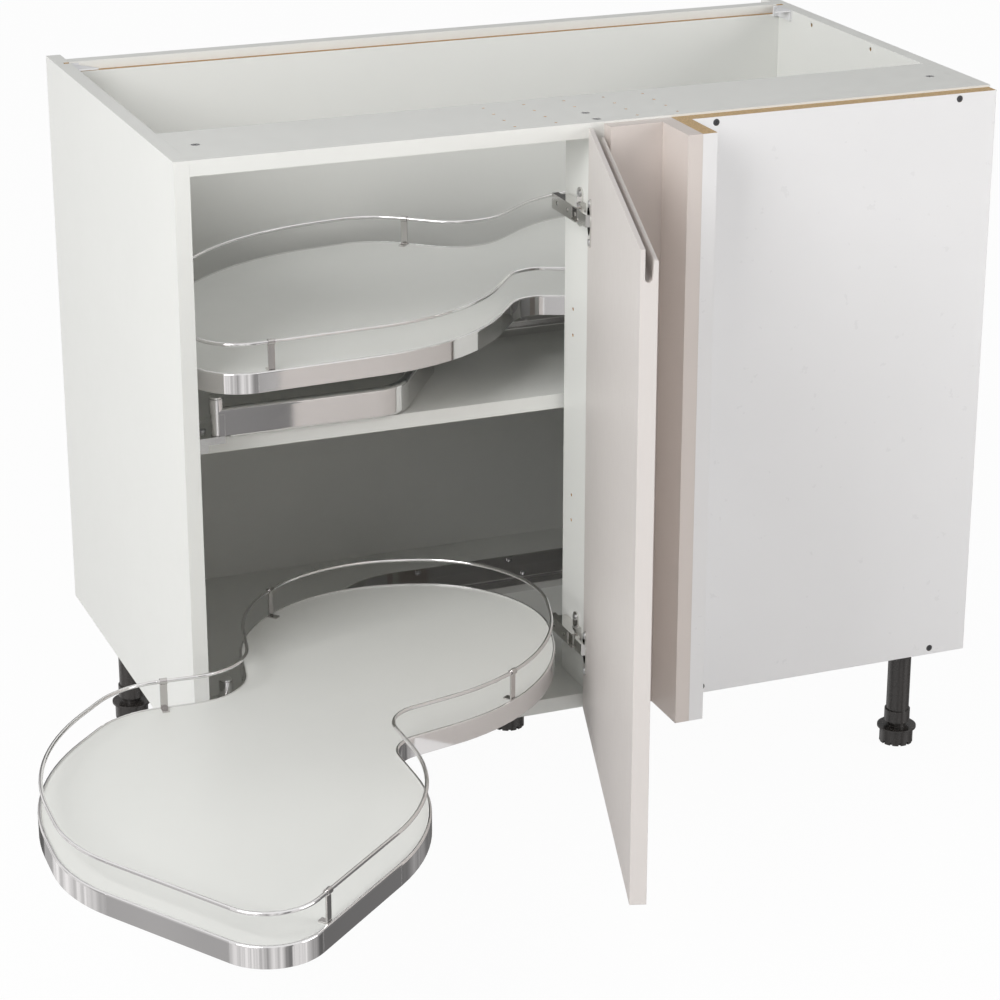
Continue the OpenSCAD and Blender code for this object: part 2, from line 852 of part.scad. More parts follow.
module at_blank_screws(levels) {
    for (x = [corner_x + panel + blank_screw_left, blank_right - blank_screw_right], z = levels)
        translate([x, -panel, z + panel / 2])
            rotate([-90, 0, 0])
                children();
}

module blank_screw_holes(level) {
    at_blank_screws([level])
        cylinder(r = shank_r + seat_play, h = 2 * panel + 2);
}

module blank_panel() {
    color(front_white)
        difference() {
            front_board(corner_x + panel, -panel, blank_right - corner_x - panel, panel);
            at_blank_screws([0, rail_z]) {
                cylinder(r = shank_r + seat_play, h = panel + 1);
                translate([0, 0, -1])
                    cylinder(r = head_r + seat_play, h = head_height + sunk + 1);
            }
        }
}

module blank_screws() {
    color(dark_screw)
        at_blank_screws([0, rail_z])
            translate([0, 0, head_height + sunk])
                rotate([180, 0, 0])
                    screw(2 * panel - head_height - sunk);
}

module return_panel() {
    color(front_white)
        front_board(corner_x, -return_reach, panel, return_reach);
}

module corner_post_front() {
    color(cashmere_board)
        front_board(corner_x - panel, -return_reach, panel, return_reach);
}

module corner_post_side() {
    color(cashmere_board)
        front_board(side_leg_x, -panel, corner_x - panel - side_leg_x, panel);
}

// ---------------------------------------------------------------- door

// Section of the door: X from the inner face outwards, Y up
module door_section() {
    groove_z = door_height - groove_centre_drop;
    lip_z = door_height - lip_centre_drop;
    difference() {
        square([door_thick, lip_z]);
        translate([groove_wall + groove_r, groove_z])
            circle(r = groove_r);
        polygon([
            [groove_wall, groove_z],
            [groove_wall + 2 * groove_r, groove_z],
            [door_thick - 2 * lip_r, lip_z],
            [door_thick - 2 * lip_r, lip_z + 1],
            [groove_wall, lip_z + 1]
        ]);
    }
    square([groove_wall, door_height]);
    translate([door_thick - lip_r, lip_z])
        circle(r = lip_r);
}

module at_cups() {
    for (z = hinge_heights)
        translate([cup_x, -door_gap, z])
            rotate([90, 0, 0])
                children();
}

module at_cup_screws() {
    for (side = [-1, 1])
        translate([-cup_screw_back, side * cup_screw_side, 0])
            children();
}

module door_panel() {
    color(cashmere_board)
        door_opened()
            difference() {
                translate([door_left, -door_gap, door_bottom])
                    mirror([0, 1, 0])
                        rotate([90, 0, 90])
                            linear_extrude(door_width)
                                door_section();
                at_cups() {
                    translate([0, 0, -1])
                        cylinder(r = cup_r, h = cup_depth + 1);
                    at_cup_screws()
                        translate([0, 0, -1])
                            cylinder(r = shank_r + seat_play, h = pilot_depth);
                }
            }
}

// Cup with its oblong flange on the door's inner face
module hinge_cups() {
    inner_r = cup_r - seat_play - cup_wall;
    flange_r = head_r + cup_flange_edge;
    color(chrome_metal)
        door_opened()
            at_cups()
                difference() {
                    union() {
                        cylinder(r = cup_r - seat_play, h = cup_depth - cup_floor_gap);
                        translate([0, 0, -cup_flange])
                            linear_extrude(cup_flange) {
                                circle(r = cup_r);
                                at_cup_screws()
                                    circle(r = flange_r);
                                translate([-cup_screw_back - flange_r, -cup_screw_side])
                                    square([2 * flange_r, 2 * cup_screw_side]);
                            }
                    }
                    translate([0, 0, -cup_flange - 1])
                        cylinder(r = inner_r, h = cup_depth + cup_flange - cup_floor_gap);
                    at_cup_screws()
                        translate([0, 0, -cup_flange - 1])
                            cylinder(r = shank_r + seat_play, h = cup_flange + 2);
                }
}

module hinge_cup_screws() {
    color(steel_metal)
        door_opened()
            at_cups()
                at_cup_screws()
                    translate([0, 0, -cup_flange])
                        rotate([180, 0, 0])
                            screw(pilot_depth);
}

// Gooseneck from the bottom of the cup into the arm's nose, drawn with the door open.
module hinge_links() {
    color(chrome_metal)
        for (z = hinge_heights)
            translate([post_x, 0, z - link_width / 2])
                linear_extrude(link_width)
                    polygon(link_outline);
}

// Mounting plate: a winged sheet on the post and the raised block that the arm clips to
module hinge_plates() {
    color(chrome_metal)
        for (z = hinge_heights)
            difference() {
                union() {
                    translate([post_x - plate_sheet, plate_line, z])
                        rotate([0, 90, 0])
                            linear_extrude(plate_sheet) {
                                square([plate_spacing, plate_wing], center = true);
                                for (side = [-1, 1])
                                    translate([side * plate_spacing / 2, 0])
                                        circle(d = plate_wing);
                            }
                    translate([post_x - plate_rise, plate_line - plate_front, z - arm_half + arm_sheet])
                        cube([plate_rise, plate_length, 2 * (arm_half - arm_sheet) - seat_play]);
                }
                for (side = [-1, 1])
                    drilled([post_x - plate_sheet - 1, plate_line, z + side * plate_spacing / 2],
                            [0, 90, 0], shank_r + seat_play, plate_sheet + 2);
            }
}

module hinge_plate_screws() {
    color(steel_metal)
        for (z = hinge_heights, side = [-1, 1])
            translate([post_x - plate_sheet, plate_line, z + side * plate_spacing / 2])
                rotate([0, -90, 0])
                    screw(pilot_depth);
}

// Channel that clips over the mounting plate and takes the links in its open front
module hinge_arms() {
    back = plate_line - plate_front + plate_length;
    color(chrome_metal)
        for (z = hinge_heights)
            translate([post_x - arm_reach, 0, z])
                difference() {
                    translate([0, arm_nose, -arm_half])
                        cube([arm_reach - plate_sheet, back + arm_tail - arm_nose, 2 * arm_half]);
                    translate([arm_sheet, arm_nose - 1, -arm_half + arm_sheet])
                        cube([arm_reach, back + arm_tail, 2 * (arm_half - arm_sheet)]);
                    translate([-1, arm_nose - 1, -arm_half + arm_sheet])
                        cube([arm_sheet + 2, link_room + 1, 2 * (arm_half - arm_sheet)]);
                    for (y = [arm_nose - 1, back])
                        translate([arm_reach - plate_rise - arm_shoulder, y, -arm_half - 1])
                            cube([arm_reach, plate_line - plate_front - arm_nose + 1, 2 * arm_half + 2]);
                    for (y = [plate_line - plate_front / 2, back - plate_front / 3])
                        translate([-1, y, 0])
                            rotate([0, 90, 0])
                                cylinder(r = arm_hole_r, h = arm_sheet + 2);
                }
}

// ---------------------------------------------------------------- legs

module at_legs() {
    for (site = leg_sites)
        translate([site.x, site.y, -leg_height])
            children();
}

module leg_sockets() {
    color(black_plastic)
        at_legs()
            difference() {
                union() {
                    translate([0, 0, leg_height - socket_plate])
                        cylinder(r = socket_r, h = socket_plate);
                    translate([0, 0, leg_height - socket_plate - socket_spigot])
                        cylinder(r = leg_r - leg_wall - seat_play, h = socket_spigot + 1);
                }
                translate([0, 0, leg_height - socket_plate - socket_spigot - 1])
                    cylinder(r = leg_r - 2 * leg_wall, h = socket_spigot);
            }
}

module leg_tubes() {
    color(black_plastic)
        at_legs()
            difference() {
                union() {
                    translate([0, 0, collar_z])
                        cylinder(r = leg_r, h = leg_height - socket_plate - collar_z);
                    translate([0, 0, collar_z])
                        cylinder(r = collar_r, h = collar_height);
                }
                translate([0, 0, collar_z - 1])
                    cylinder(r = leg_r - leg_wall, h = leg_height);
            }
}

module leg_adjusters() {
    color(black_plastic)
        at_legs()
            difference() {
                union() {
                    cylinder(r = foot_r, h = foot_height);
                    translate([0, 0, foot_height])
                        cylinder(r = foot_flange_r, h = foot_flange);
                    cylinder(r = adjuster_r, h = collar_z + thread_reach);
                }
                for (i = [0 : foot_slots - 1])
                    rotate([0, 0, (i + 0.5) * 360 / foot_slots])
                        translate([foot_r - foot_slot_depth, -foot_slot_width / 2, -1])
                            cube([2 * foot_slot_depth, foot_slot_width, foot_slot_height + 1]);
            }
}

// ---------------------------------------------------------------- base guides

// Section of the guide: X inwards from its rear flange, Y up
module guide_section() {
    square([guide_width, guide_sheet]);
    square([guide_sheet, guide_height]);
    translate([guide_channel, 0])
        square([guide_sheet, guide_mid_height]);
    translate([guide_width - guide_sheet, 0])
        square([guide_sheet, guide_mid_height]);
}

module base_guide() {
    difference() {
        union() {
            translate([guide_right, guide_back, 0])
                rotate([0, 0, 180])
                    rotate([90, 0, 90])
                        linear_extrude(guide_right - guide_bend)
                            guide_section();
            translate([guide_bend, guide_back - guide_r, 0])
                rotate([0, 0, 90])
                    rotate_extrude(angle = guide_angle, $fn = arc_fn)
                        translate([guide_r, 0])
                            mirror([1, 0])
                                guide_section();
        }
        at_guide_screws()
            translate([0, 0, -guide_sheet - 1])
                cylinder(r = shank_r + seat_play, h = guide_sheet + 2);
    }
}

module upper_guide() {
    color(chrome_metal)
        upper_stored()
            base_guide();
}

module lower_guide() {
    color(chrome_metal)
        translate([0, 0, panel])
            base_guide();
}

// ---------------------------------------------------------------- brackets and arms

module at_bracket_screws() {
    for (x = bracket_screw_xs, y = bracket_screw_ys)
        translate([swing_axis.x - x, swing_axis.y + y, bracket_plate])
            children();
}

module at_guide_screws() {
    for (x = guide_screw_xs)
        translate([plan_scale * x, guide_back - guide_channel / 2, guide_sheet])
            children();
}

// Hole down into the board from the top of a plate that lies on it
module hole_below(plate) {
    translate([0, 0, -plate - swing_screw])
        cylinder(r = shank_r + seat_play, h = plate + swing_screw + 1);
}

// Pilot holes of one compartment in the board that carries the mechanism
module mechanism_screw_holes() {
    at_bracket_screws()
        hole_below(bracket_plate);
    at_guide_screws()
        hole_below(guide_sheet);
}

module compartment_screws() {
    at_bracket_screws()
        screw(swing_screw);
    at_guide_screws()
        screw(swing_screw);
}

module swing_base_screws() {
    color(steel_metal) {
        upper_stored()
            compartment_screws();
        translate([0, 0, panel])
            compartment_screws();
    }
}

// Plate with the arm's fixed pin. The shelf's one has a stepped lip over the shelf's front edge.
module bracket(lip) {
    left = panel + bracket_gap;
    right = swing_axis.x + bracket_right;
    front = swing_axis.y - bracket_front;
    difference() {
        union() {
            translate([left, front, 0])
                cube([right - left, bracket_front + bracket_back, bracket_plate]);
            if (lip) {
                translate([left, front, -bracket_step])
                    cube([right - left, shelf_setback - front, bracket_step + 1]);
                translate([left, front, -bracket_lip])
                    cube([bracket_lip_width, shelf_setback - front, bracket_lip + 1]);
            }
        }
        at_bracket_screws()
            translate([0, 0, -bracket_plate - 1])
                cylinder(r = shank_r + seat_play, h = bracket_plate + 2);
    }
    translate([swing_axis.x, swing_axis.y, 0]) {
        cylinder(r = bracket_pin_r, h = barrel_top + 1);
        translate([0, 0, barrel_top + pin_cap_gap])
            cylinder(r = barrel_r - 1, h = pin_cap);
    }
}

module upper_bracket() {
    color(chrome_metal)
        upper_stored()
            bracket(true);
}

module lower_bracket() {
    color(chrome_metal)
        translate([0, 0, panel])
            bracket(false);
}

// Section of the arm's bar: X across it and Y up. grow thickens it all round.
module arm_section(grow) {
    half = arm_width / 2;
    translate([-half - grow, arm_round])
        square([arm_width + 2 * grow, arm_height - 2 * arm_round]);
    translate([-half + arm_round, -grow])
        square([arm_width - 2 * arm_round, arm_height + 2 * grow]);
    for (side = [-1, 1], y = [arm_round, arm_height - arm_round])
        translate([side * (half - arm_round), y])
            circle(r = arm_round + grow);
}

// Straight piece of the bar along X, from from_x to to_x
module arm_straight(from_x, to_x, grow) {
    translate([from_x, 0, 0])
        rotate([90, 0, 90])
            linear_extrude(to_x - from_x)
                arm_section(grow);
}

// Front bar, bend and rear bar, drawn from the crossing of their centre lines
module arm_bar() {
    arm_straight(swing_axis.x - bend_cross.x, -bend_trim - joint_gap, 0);
    translate([-bend_trim, arm_bend_r, 0])
        rotate([0, 0, -90])
            rotate_extrude(angle = arm_lean, $fn = arc_fn)
                translate([arm_bend_r, 0])
                    arm_section(0);
    arm_straight(-bend_trim - collar_length / 2, -bend_trim + collar_length / 2, collar_grow);
    rotate([0, 0, arm_lean])
        difference() {
            union() {
                arm_straight(bend_trim + joint_gap, arm_length + head_overlap, 0);
                arm_straight(bend_trim - collar_length / 2, bend_trim + collar_length / 2,
                             collar_grow);
            }
            translate([arm_length, -arm_width, -1])
                cube([head_overlap + 1, 2 * arm_width, head_z - arm_lift + 1]);
        }
}

module swing_arm() {
    top = arm_lift + arm_height;
    difference() {
        union() {
            translate([bend_cross.x, bend_cross.y, arm_lift])
                arm_bar();
            translate([turn_pivot.x, turn_pivot.y, head_z])
                cylinder(r = boss_r, h = top - head_z);
            translate([turn_pivot.x, turn_pivot.y, top - 1])
                cylinder(r = hub_r - 2, h = hub_gap);
            translate([swing_axis.x, swing_axis.y, bracket_plate + pin_cap_gap])
                cylinder(r = barrel_neck_r, h = barrel_top - bracket_plate - pin_cap_gap);
            translate([swing_axis.x, swing_axis.y, barrel_collar_z])
                cylinder(r = barrel_r, h = barrel_top - barrel_collar_z);
            translate([swing_axis.x, swing_axis.y - bracket_front - 1, bracket_plate + pin_cap_gap])
                cube([barrel_neck_r, bracket_front + 1, barrel_collar_z - bracket_plate]);
        }
        translate([swing_axis.x, swing_axis.y, -1])
            cylinder(r = bracket_pin_r + pivot_play, h = barrel_top + 2);
        translate([swing_axis.x - barrel_r, swing_axis.y - 2 * barrel_r, -1])
            cube([barrel_r + base_clear, 4 * barrel_r, bracket_plate + pin_cap_gap + 1]);
        translate([turn_pivot.x, turn_pivot.y, head_z + pin_floor])
            cylinder(r = turn_pin_r, h = arm_height);
    }
}

module turn_pin() {
    translate([turn_pivot.x, turn_pivot.y, head_z + pin_floor])
        cylinder(r = turn_pin_r, h = turn_pin_top - head_z - pin_floor);
}

module upper_arm() {
    color(chrome_metal)
        upper_stored()
            swing_arm();
}

module upper_turn_pin() {
    color(steel_metal)
        upper_stored()
            turn_pin();
}

module lower_arm() {
    color(chrome_metal)
        lower_arm_out()
            swing_arm();
}

module lower_turn_pin() {
    color(steel_metal)
        lower_arm_out()
            turn_pin();
}

// ---------------------------------------------------------------- trays

module deck() {
    difference() {
        translate([0, 0, deck_bottom])
            linear_extrude(deck_thick)
                polygon(outline_points(tray_discs, deck_inset));
        at_deck_screws()
            cylinder(r = shank_r + seat_play, h = swing_screw + 1);
    }
}

// Section of the trim: X inwards from the outline, Y measured up from the panel.
// grow thickens it all round.
module band_section(grow) {
    top = tray_lip_z - lip_round;
    translate([-grow, tray_lip_z - band_height - grow])
        square([band_wall + 2 * grow, band_height - lip_round + grow]);
    translate([lip_round, top])
        intersection() {
            difference() {
                circle(r = lip_round + grow);
                circle(r = lip_round - band_wall - grow);
            }
            translate([-lip_round - grow, 0])
                square([lip_round + grow, lip_round + grow]);
        }
    translate([lip_round, tray_lip_z - band_wall - grow])
        square([lip_width - lip_round + grow, band_wall + 2 * grow]);
    translate([0, deck_bottom - ledge_thick - grow])
        square([band_wall + ledge_reach + grow, ledge_thick + grow]);
}

module band() {
    sweep_outline(tray_discs) {
        band_section(0);
        band_section(collar_grow);
    }
}

module wire_section(grow) {
    translate([wire_inset, tray_lip_z + wire_rise])
        circle(r = wire_r + grow, $fn = 16);
}

module wire() {
    sweep_outline(tray_discs) {
        wire_section(0);
        wire_section(collar_grow);
    }
}

// Section of a rail post: flat strip, foot on the deck and sleeve round the wire
module rail_post_section() {
    difference() {
        union() {
            translate([-rail_post_thick / 2, -band_wall])
                square([rail_post_thick, wire_rise + band_wall]);
            translate([-rail_foot, -band_wall])
                square([rail_foot, rail_foot_thick]);
            translate([0, wire_rise])
                circle(r = wire_r + hook_play + hook_wall);
        }
        translate([0, wire_rise])
            circle(r = wire_r + hook_play);
    }
}

function post_normal(i) =
    turned(normal_after(tray_discs, rail_post_discs[i]), rail_post_turns[i]);
function post_point(i) =
    let (normal = post_normal(i))
    touch_point(tray_discs[rail_post_discs[i]], normal, wire_inset)
        + plan_scale * rail_post_slides[i] * [-normal.y, normal.x];

module rail_posts() {
    for (i = [0 : len(rail_post_discs) - 1])
        translate([post_point(i).x, post_point(i).y, tray_lip_z])
            rotate([0, 0, angle_of(post_normal(i))])
                translate([0, rail_post_width / 2, 0])
                    rotate([90, 0, 0])
                        linear_extrude(rail_post_width)
                            rail_post_section();
}

module at_deck_screws() {
    for (turn = [45 : 90 : 315])
        translate([turn_pivot.x, turn_pivot.y, deck_bottom - turntable_plate])
            rotate([0, 0, turn])
                translate([turntable_r - turntable_edge, 0, 0])
                    children();
}

module deck_screws() {
    at_deck_screws()
        rotate([180, 0, 0])
            screw(swing_screw);
}

module turntable() {
    hub_bottom = arm_lift + arm_height + hub_gap - 1 + ring_play;
    difference() {
        translate([turn_pivot.x, turn_pivot.y, 0]) {
            translate([0, 0, hub_bottom])
                cylinder(r = hub_r, h = deck_bottom - hub_bottom);
            translate([0, 0, deck_bottom - turntable_plate])
                cylinder(r = turntable_r, h = turntable_plate, $fn = arc_fn);
        }
        translate([turn_pivot.x, turn_pivot.y, hub_bottom - 1])
            cylinder(r = turn_pin_r + pivot_play, h = turn_pin_top - hub_bottom + 2);
        at_deck_screws()
            translate([0, 0, -1])
                cylinder(r = shank_r + seat_play, h = turntable_plate + 2);
    }
}

module upper_deck_screws() {
    color(steel_metal)
        upper_stored()
            deck_screws();
}

module upper_deck() {
    color(deck_board)
        upper_stored()
            deck();
}

module upper_band() {
    color(chrome_metal)
        upper_stored()
            band();
}

module upper_wire() {
    color(chrome_metal)
        upper_stored()
            wire();
}

module upper_rail_posts() {
    color(chrome_metal)
        upper_stored()
            rail_posts();
}

module upper_turntable() {
    color(steel_metal)
        upper_stored()
            turntable();
}

module lower_deck_screws() {
    color(steel_metal)
        lower_out()
            deck_screws();
}

module lower_deck() {
    color(deck_board)
        lower_out()
            deck();
}

module lower_band() {
    color(chrome_metal)
        lower_out()
            band();
}

module lower_wire() {
    color(chrome_metal)
        lower_out()
            wire();
}

module lower_rail_posts() {
    color(chrome_metal)
        lower_out()
            rail_posts();
}

module lower_turntable() {
    color(steel_metal)
        lower_out()
            turntable();
}

// ---------------------------------------------------------------- drawing

placed() {
    side_panel_left();
    side_panel_right();
    bottom_panel();
    mid_shelf();
    back_panel();
    rear_rail();
    front_rail();
    mid_post();
    blank_panel();
    return_panel();
    corner_post_front();
    corner_post_side();
    corner_brackets();
    rail_cams();
    post_screws();
    blank_screws();
    hinge_plates();
    hinge_plate_screws();
    hinge_arms();
    leg_sockets();
    leg_tubes();
    leg_adjusters();
    upper_guide();
    lower_guide();
    upper_bracket();
    lower_bracket();
    swing_base_screws();
    door_panel();
    hinge_cups();
    hinge_cup_screws();
    hinge_links();
    upper_arm();
    upper_turn_pin();
    upper_deck();
    upper_band();
    upper_wire();
    upper_rail_posts();
    upper_turntable();
    upper_deck_screws();
    lower_arm();
    lower_turn_pin();
    lower_deck();
    lower_band();
    lower_wire();
    lower_rail_posts();
    lower_turntable();
    lower_deck_screws();
}
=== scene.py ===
"""Corner carousel cabinet: the look of the parts, the stage and the camera, in metres."""
import math

import bpy
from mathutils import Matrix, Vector


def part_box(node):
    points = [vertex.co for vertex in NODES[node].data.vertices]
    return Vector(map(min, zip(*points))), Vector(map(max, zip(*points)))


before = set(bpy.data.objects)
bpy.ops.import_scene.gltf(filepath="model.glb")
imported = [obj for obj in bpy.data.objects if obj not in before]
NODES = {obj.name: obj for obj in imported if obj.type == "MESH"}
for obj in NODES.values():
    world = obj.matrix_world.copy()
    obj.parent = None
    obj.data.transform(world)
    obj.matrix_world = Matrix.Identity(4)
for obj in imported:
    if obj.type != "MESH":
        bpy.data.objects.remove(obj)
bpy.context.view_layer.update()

# Linear colours of the boards: faces, then raw cores
MELAMINE = (0.818, 0.822, 0.792)
FRONT_WHITE = (0.815, 0.810, 0.812)
CASHMERE = (0.725, 0.682, 0.655)
# The corner posts' copy of the door's cashmere, painted darker and warmer as painted shade
POST_CASHMERE_PAINTED_SHADE = (0.690, 0.628, 0.590)
DECK_GREY = (0.800, 0.806, 0.776)
CHIPBOARD = (0.520, 0.365, 0.195)
FIBREBOARD = (0.430, 0.270, 0.130)
# Chipboard painted brighter and redder for the drilled holes, as painted light against their shade
HOLE_CHIPBOARD_PAINTED_LIGHT = (0.640, 0.370, 0.150)

# A surface further than this inside a board's box is cut or drilled.
FACE_SKIN = 0.0003
# A normal that rises more than this points up.
FACES_UP = 0.7
MELAMINE_IOR = 1.46
RAW_ROUGHNESS = 0.85


class Nodes:
    """A cleared node tree, and the helpers that fill it."""

    def __init__(self, owner):
        owner.use_nodes = True
        self.tree = owner.node_tree
        self.tree.nodes.clear()

    def add(self, kind, **settings):
        node = self.tree.nodes.new(kind)
        for key, value in settings.items():
            setattr(node, key, value)
        return node

    def link(self, source, target):
        self.tree.links.new(source, target)

    def feed(self, target, value):
        """Links a socket, or sets a number or an RGB colour."""
        if isinstance(value, bpy.types.NodeSocket):
            self.link(value, target)
        elif isinstance(value, tuple):
            target.default_value = (*value, 1.0)
        else:
            target.default_value = value

    def math(self, operation, *values, clamp=False):
        node = self.add("ShaderNodeMath", operation=operation, use_clamp=clamp)
        for socket, value in zip(node.inputs, values):
            self.feed(socket, value)
        return node.outputs[0]

    def mix(self, factor, a, b, blend_type="MIX"):
        node = self.add("ShaderNodeMix", data_type="RGBA", blend_type=blend_type)
        self.feed(node.inputs["Factor"], factor)
        self.feed(node.inputs[6], a)
        self.feed(node.inputs[7], b)
        return node.outputs[2]

    def spread(self, value, low, high, from_low=0.3, from_high=0.7):
        """Maps a value's middle range to low and high, and holds it between them."""
        node = self.add("ShaderNodeMapRange")
        for key, number in zip(("From Min", "From Max", "To Min", "To Max"),
                               (from_low, from_high, low, high)):
            node.inputs[key].default_value = number
        self.link(value, node.inputs["Value"])
        return node.outputs["Result"]

    def emission(self, kind, colour, strength=1.0):
        node = self.add(kind)
        self.feed(node.inputs["Color"], colour)
        node.inputs["Strength"].default_value = strength
        return node.outputs[0]

    def blend(self, factor, a, b):
        """Mixes two shaders."""
        node = self.add("ShaderNodeMixShader")
        for socket, value in zip(node.inputs, (factor, a, b)):
            self.link(value, socket)
        return node.outputs[0]


class Finish(Nodes):
    """A Principled material, with textures in the object's own metres."""

    def __init__(self, name, colour, roughness, metallic=0.0, **sockets):
        self.material = bpy.data.materials.new(name)
        super().__init__(self.material)
        self.output = self.add("ShaderNodeOutputMaterial")
        self.shader = self.add("ShaderNodeBsdfPrincipled")
        self.link(self.shader.outputs["BSDF"], self.output.inputs["Surface"])
        self.set("Base Color", colour)
        self.set("Roughness", roughness)
        self.set("Metallic", metallic)
        for socket, value in sockets.items():
            self.set(socket.replace("_", " "), value)
        self.place = self.add("ShaderNodeTexCoord")

    def set(self, socket, value):
        self.feed(self.shader.inputs[socket], value)

    def stretched(self, x, y, z):
        node = self.add("ShaderNodeMapping")
        node.inputs["Scale"].default_value = (x, y, z)
        self.link(self.place.outputs["Object"], node.inputs["Vector"])
        return node.outputs["Vector"]

    def noise(self, scale, detail=3.0, rough=0.55, vector=None):
        node = self.add("ShaderNodeTexNoise")
        node.inputs["Scale"].default_value = scale
        node.inputs["Detail"].default_value = detail
        node.inputs["Roughness"].default_value = rough
        self.link(vector or self.place.outputs["Object"], node.inputs["Vector"])
        return node.outputs["Fac"]

    def cells(self, scale):
        node = self.add("ShaderNodeTexVoronoi")
        node.inputs["Scale"].default_value = scale
        self.link(self.place.outputs["Object"], node.inputs["Vector"])
        return node.outputs["Color"]

    def axes(self, output="Object"):
        node = self.add("ShaderNodeSeparateXYZ")
        self.link(self.place.outputs[output], node.inputs["Vector"])
        return node.outputs

    def within(self, socket, low, high):
        """1 between low and high, else 0."""
        above = self.math("GREATER_THAN", socket, low)
        return self.math("MULTIPLY", above, self.math("LESS_THAN", socket, high))

    def edge(self, radius, gain=4.0):
        """How sharply the surface turns within the radius, and the rounded normal there."""
        bevel = self.add("ShaderNodeBevel", samples=4)
        bevel.inputs["Radius"].default_value = radius
        geometry = self.add("ShaderNodeNewGeometry")
        node = self.add("ShaderNodeVectorMath", operation="DOT_PRODUCT")
        self.link(bevel.outputs["Normal"], node.inputs[0])
        self.link(geometry.outputs["True Normal"], node.inputs[1])
        turned = self.math("SUBTRACT", 1.0, node.outputs["Value"])
        return self.math("MULTIPLY", turned, gain, clamp=True), bevel.outputs["Normal"]

    def relief(self, height, depth, strength, rounded):
        """Bumps the surface over its rounded edges."""
        node = self.add("ShaderNodeBump")
        node.inputs["Distance"].default_value = depth
        node.inputs["Strength"].default_value = strength
        self.link(height, node.inputs["Height"])
        self.link(rounded, node.inputs["Normal"])
        self.set("Normal", node.outputs["Normal"])


def shade(colour, factor):
    return tuple(min(1.0, c * factor) for c in colour)


def raw_board(finish, colour):
    """Pressed wood particles: flakes of two sizes, a few dark ones."""
    flakes = finish.cells(scale=900.0)
    small = finish.noise(scale=1700.0, detail=2.0)
    drift = finish.spread(flakes, 0.0, 1.0, from_low=0.1, from_high=0.9)
    pale = finish.mix(drift, shade(colour, 0.78), shade(colour, 1.22))
    dark = finish.spread(small, 0.0, 0.45, from_low=0.55, from_high=0.75)
    return finish.mix(dark, pale, shade(colour, 0.45))


def raw_places(finish, node, raw_top):
    """1 inside the node's box, where it is cut or drilled, and on top of it if raw_top says so."""
    low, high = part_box(node)
    inside = 1.0
    for axis, socket in enumerate(finish.axes()):
        across = finish.within(socket, low[axis] + FACE_SKIN, high[axis] - FACE_SKIN)
        inside = finish.math("MULTIPLY", across, inside)
    if raw_top:
        up = finish.math("GREATER_THAN", finish.axes("Normal")[2], FACES_UP)
        inside = finish.math("MAXIMUM", inside, up)
    return inside


def board(node, colour, core=None, raw_top=False, roughness=0.34):
    """A faced board: fine pearl texture, softened edges painted lighter as a painted highlight,
    and its raw core where that shows.
    """
    finish = Finish(node + "_finish", colour, roughness, IOR=MELAMINE_IOR)
    cloud = finish.spread(finish.noise(scale=7.0, detail=2.0), 0.0, 1.0)
    face = finish.mix(cloud, shade(colour, 0.985), colour)
    edge_wear_and_painted_light, rounded = finish.edge(radius=0.0009)
    # Painted highlight: faces that turn within the bevel radius are painted lighter.
    face = finish.mix(finish.math("MULTIPLY", edge_wear_and_painted_light, 0.25), face, shade(colour, 1.05))
    smears = finish.noise(scale=60.0, detail=4.0)
    rough = finish.spread(smears, roughness - 0.03, roughness + 0.05)
    if core:
        raw = raw_places(finish, node, raw_top)
        face = finish.mix(raw, face, raw_board(finish, core))
        rough = finish.math("MAXIMUM", rough, finish.math("MULTIPLY", raw, RAW_ROUGHNESS))
    finish.set("Base Color", face)
    finish.set("Roughness", rough)
    pearl = finish.noise(scale=2600.0, detail=2.0)
    finish.relief(pearl, depth=0.00004, strength=0.25, rounded=rounded)
    return finish.material


def plated(name, colour, roughness, brushed=0.0, smudge=0.03, painted_edge_tone=1.08, painted_edge_share=0.3):
    """Bright plate: faint smudges in the polish, a brushed grain or a fine ripple, soft edges
    painted towards the edge tone as a painted highlight or painted shade.
    """
    finish = Finish(name, colour, roughness, metallic=1.0)
    smudges = finish.noise(scale=34.0, detail=5.0, rough=0.6)
    finish.set("Roughness", finish.spread(smudges, roughness, roughness + smudge))
    edge_wear_and_painted_light, rounded = finish.edge(radius=0.0004)
    cloud = finish.spread(finish.noise(scale=9.0, detail=2.0), 0.0, 1.0)
    tone = finish.mix(cloud, shade(colour, 0.97), colour)
    # Edges are painted towards the edge tone: a painted highlight where it is above 1, painted
    # shade where it is below.
    painted_edge_light_and_shade = finish.math("MULTIPLY", edge_wear_and_painted_light, painted_edge_share)
    finish.set("Base Color", finish.mix(painted_edge_light_and_shade, tone, shade(colour, painted_edge_tone)))
    if brushed:
        along = finish.stretched(1.0, 1.0, 14.0)
        grain = finish.noise(scale=90.0, detail=4.0, rough=0.6, vector=along)
        finish.relief(grain, depth=0.00003, strength=brushed, rounded=rounded)
    else:
        ripple = finish.noise(scale=160.0, detail=2.0)
        finish.relief(ripple, depth=0.00002, strength=0.12, rounded=rounded)
    return finish.material


